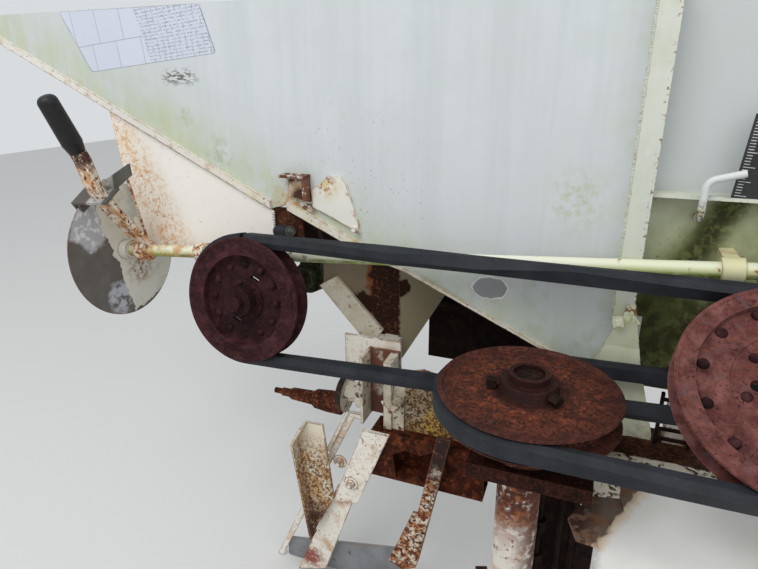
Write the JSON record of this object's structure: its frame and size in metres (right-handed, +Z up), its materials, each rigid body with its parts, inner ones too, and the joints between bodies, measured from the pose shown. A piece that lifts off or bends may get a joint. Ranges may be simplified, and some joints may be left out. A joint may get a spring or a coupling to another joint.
{
  "type": "spreader belt drive end section",
  "caption": "Hopper end wall of a pull-type fertilizer spreader with a twisted V-belt drive, rate lever and dial, and a spinner disc on a vertical spindle",
  "frame": {"origin": "middle of the mounting pad's back face, where the section bolts to the spreader's chassis", "axes": "+X along the end wall, +Y into the machine, out of the pad's back face, +Z up"},
  "size_m": [1.4387, 0.526, 0.891],
  "materials": {
    "white_paint": "weathered white paint, chips and rust at edges",
    "green_paint": "pale paint with a green bloom of algae",
    "cream_paint": "cream paint, worn",
    "tan_paint": "dusty tan paint, rust patches",
    "black_scale": "black scale strip",
    "rusty_steel": "brown rust",
    "orange_rust": "orange speckled rust",
    "bare_steel": "dark bare steel",
    "galvanised": "dull galvanised steel",
    "belt_rubber": "worn dark rubber",
    "grip_rubber": "black grip"
  },
  "bodies": {
    "frame": {"end_wall": "white_paint", "mounting_pad": "white_paint", "edge_flange": "white_paint", "side_sheet": "white_paint", "leg_plate": "white_paint", "wall_ribs": "cream_paint", "rib_foot": "cream_paint", "window_jambs": "white_paint", "upper_panel": "white_paint", "lower_panel": "green_paint", "window_sill": "white_paint", "scale_strip": "black_scale", "pointer_rod": "cream_paint", "wall_tabs": "white_paint", "notch_plate": "rusty_steel", "cross_member": "white_paint", "dial_disc": "bare_steel", "dial_bracket": "rusty_steel", "bar_sleeve": "cream_paint", "drive_bearing": "rusty_steel", "bearing_hanger": "rusty_steel", "spindle_housing": "cream_paint", "spindle_bracket": "orange_rust", "mule_pin": "rusty_steel", "mule_arm": "rusty_steel", "idler_pin": "rusty_steel", "idler_arm": "rusty_steel", "drive_belt": "belt_rubber", "front_beam": "rusty_steel", "side_rail": "rusty_steel", "rear_beam": "rusty_steel", "right_post": "white_paint", "window_post": "white_paint", "channel_post": "tan_paint", "chute_bracket": "tan_paint", "chute_plate": "tan_paint", "chute_bar": "tan_paint", "stub_bearing": "bare_steel", "stub_pin": "orange_rust", "pivot_strap": "tan_paint", "hanger_angle": "white_paint", "guard_bars": "cream_paint", "diagonal_bar": "cream_paint", "deck_sheet": "white_paint", "conveyor_ladder": "bare_steel", "trough_sheet": "tan_paint", "link_rods": "rusty_steel"},
    "rate_lever": {"torque_bar": "cream_paint", "lever_arm": "rusty_steel", "lever_grip": "grip_rubber", "lever_clamp": "galvanised", "bar_collar": "rusty_steel", "gate_crank": "rusty_steel"},
    "drive": {"drive_pulley": "rusty_steel", "drive_shaft": "rusty_steel"},
    "spinner": {"spinner_pulley": "orange_rust", "spinner_shaft": "rusty_steel", "spinner_disc": "orange_rust"},
    "mule": {"mule_sheave": "rusty_steel"},
    "idler": {"idler_sheave": "rusty_steel"}
  },
  "joints": [
    {"name": "rate_lever_tilt", "type": "hinge", "parent": "frame", "child": "rate_lever", "pos_m": [-0.473, -0.035, -0.049], "axis": [0.9972, 0, 0.075], "range_deg": [-14, 40]},
    {"name": "spinner_spin", "type": "hinge", "parent": "frame", "child": "spinner", "pos_m": [0.129, -0.144, -0.125], "axis": [0, 0, 1], "continuous": true},
    {"name": "drive_spin", "type": "hinge", "parent": "frame", "child": "drive", "pos_m": [-0.267, -0.08314, -0.08497], "axis": [0, -0.9877, 0.1564], "continuous": true},
    {"name": "mule_spin", "type": "hinge", "parent": "frame", "child": "mule", "pos_m": [0.368, -0.15425, -0.0635], "axis": [0, -0.5896, 0.8077], "continuous": true},
    {"name": "idler_spin", "type": "hinge", "parent": "frame", "child": "idler", "pos_m": [0.64, -0.01, -0.149], "axis": [0, 0, 1], "continuous": true}
  ],
  "couplings": [
    {"joint": "drive_spin", "follows": "spinner_spin", "ratio": 1.125},
    {"joint": "mule_spin", "follows": "spinner_spin", "ratio": 0.90596},
    {"joint": "idler_spin", "follows": "spinner_spin", "ratio": 2.3625}
  ]
}
